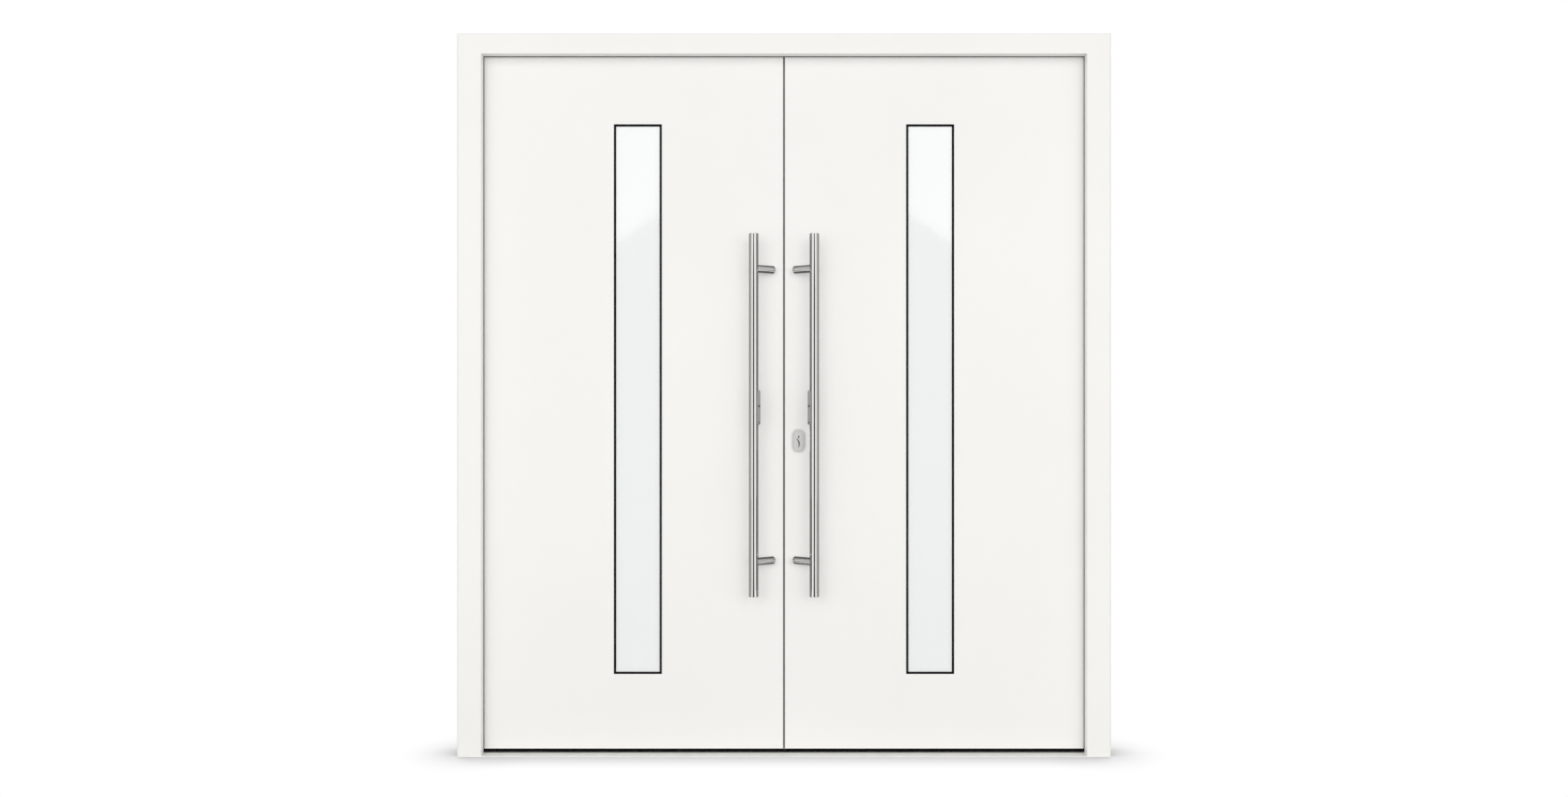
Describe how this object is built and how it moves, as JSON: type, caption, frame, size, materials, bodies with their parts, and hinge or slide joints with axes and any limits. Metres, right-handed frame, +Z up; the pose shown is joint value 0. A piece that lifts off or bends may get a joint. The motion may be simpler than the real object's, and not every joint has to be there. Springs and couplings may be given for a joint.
{
  "type": "double front door",
  "caption": "White double front door in its frame: flush insulated leaves with narrow glass strips and long round pull bars, opening inwards on lift-off hinges.",
  "frame": {"origin": "middle of the sill's underside, halfway through the frame's depth", "axes": "+Z up, -Y towards the outside, +X to the right as seen from outside"},
  "size_m": [1.99, 0.1995, 2.2],
  "materials": {
    "frame_paint": "white satin powder coat",
    "leaf_paint": "white satin powder coat",
    "hinge_paint": "white satin powder coat",
    "sill_metal": "natural anodised",
    "plain_aluminium": "mill finish",
    "black_polyamide": "matt extruded",
    "black_rubber": "matt extruded rubber",
    "brush_black": "nylon bristles",
    "white_plastic": "moulded",
    "bright_steel": "zinc plated",
    "edge_steel": "brushed stainless",
    "brushed_stainless": "brushed along its length",
    "module_grey": "satin grey",
    "nickel": "satin nickel",
    "foam": "rigid foam",
    "glass": "pale satin glass"
  },
  "bodies": {
    "frame": {"jamb_left": "frame_paint", "jamb_right": "frame_paint", "head": "frame_paint", "corner_connectors": "plain_aluminium", "sill_outer": "sill_metal", "sill_break": "black_polyamide", "sill_inner": "sill_metal", "frame_gasket": "black_rubber", "anchor_caps": "white_plastic", "hinge_frame_plates": "hinge_paint", "hinge_pins": "bright_steel", "bolt_keepers": "edge_steel"},
    "passive_leaf": {"outer_skin_left": "leaf_paint", "core_left": "foam", "inner_skin_left": "leaf_paint", "hinge_stile_left": "leaf_paint", "lock_stile_left": "leaf_paint", "rails_left": "leaf_paint", "glazing_gasket_left": "black_rubber", "outer_pane_left": "glass", "spacer_left": "plain_aluminium", "inner_pane_left": "glass", "glazing_bead_left": "leaf_paint", "bottom_brush_left": "brush_black", "pull_bar_left": "brushed_stainless", "bar_posts_left": "brushed_stainless", "bar_module_left": "module_grey", "hinge_plates_left": "hinge_paint", "strike_strip": "edge_steel", "meeting_seal": "black_rubber"},
    "active_leaf": {"outer_skin_right": "leaf_paint", "core_right": "foam", "inner_skin_right": "leaf_paint", "hinge_stile_right": "leaf_paint", "lock_stile_right": "leaf_paint", "rails_right": "leaf_paint", "glazing_gasket_right": "black_rubber", "outer_pane_right": "glass", "spacer_right": "plain_aluminium", "inner_pane_right": "glass", "glazing_bead_right": "leaf_paint", "bottom_brush_right": "brush_black", "pull_bar_right": "brushed_stainless", "bar_posts_right": "brushed_stainless", "bar_module_right": "module_grey", "hinge_plates_right": "hinge_paint", "escutcheon": "brushed_stainless", "cylinder_body": "nickel", "lock_cases": "bright_steel", "faceplate": "edge_steel", "inside_roses": "brushed_stainless", "edge_seal": "black_rubber"},
    "plug": {"cylinder_plug": "nickel"},
    "bolts": {"dead_bolts": "bright_steel"},
    "lever": {"inside_lever": "brushed_stainless"},
    "latch": {"latch": "bright_steel"},
    "top_flush_bolt": {"flush_bolt_top": "bright_steel"},
    "bottom_flush_bolt": {"flush_bolt_bottom": "bright_steel"}
  },
  "joints": [
    {"name": "active_swing", "type": "hinge", "parent": "frame", "child": "active_leaf", "pos_m": [0.9355, 0.068, 0], "axis": [0, 0, -1], "range_deg": [0, 100]},
    {"name": "passive_swing", "type": "hinge", "parent": "frame", "child": "passive_leaf", "pos_m": [-0.9355, 0.068, 0], "axis": [0, 0, 1], "range_deg": [0, 100]},
    {"name": "lever_turn", "type": "hinge", "parent": "active_leaf", "child": "lever", "pos_m": [0.04475, 0.055, 1.064], "axis": [0, 1, 0], "range_deg": [0, 40], "stiffness_Nm_per_rad": 1.5, "springref_deg": -22.92},
    {"name": "latch_slide", "type": "slide", "parent": "active_leaf", "child": "latch", "axis": [1, 0, 0], "range_m": [0, 0.0146]},
    {"name": "plug_turn", "type": "hinge", "parent": "active_leaf", "child": "plug", "pos_m": [0.04475, 0.02, 0.972], "axis": [0, 1, 0], "range_deg": [0, 360]},
    {"name": "bolts_slide", "type": "slide", "parent": "active_leaf", "child": "bolts", "axis": [-1, 0, 0], "range_m": [0, 0.02]},
    {"name": "top_bolt_slide", "type": "slide", "parent": "passive_leaf", "child": "top_flush_bolt", "axis": [0, 0, 1], "range_m": [0, 0.014]},
    {"name": "bottom_bolt_slide", "type": "slide", "parent": "passive_leaf", "child": "bottom_flush_bolt", "axis": [0, 0, -1], "range_m": [0, 0.014]}
  ],
  "couplings": [
    {"joint": "latch_slide", "follows": "lever_turn", "m_per_rad": 0.02077},
    {"joint": "plug_turn", "follows": "bolts_slide", "rad_per_m": 314.15}
  ]
}
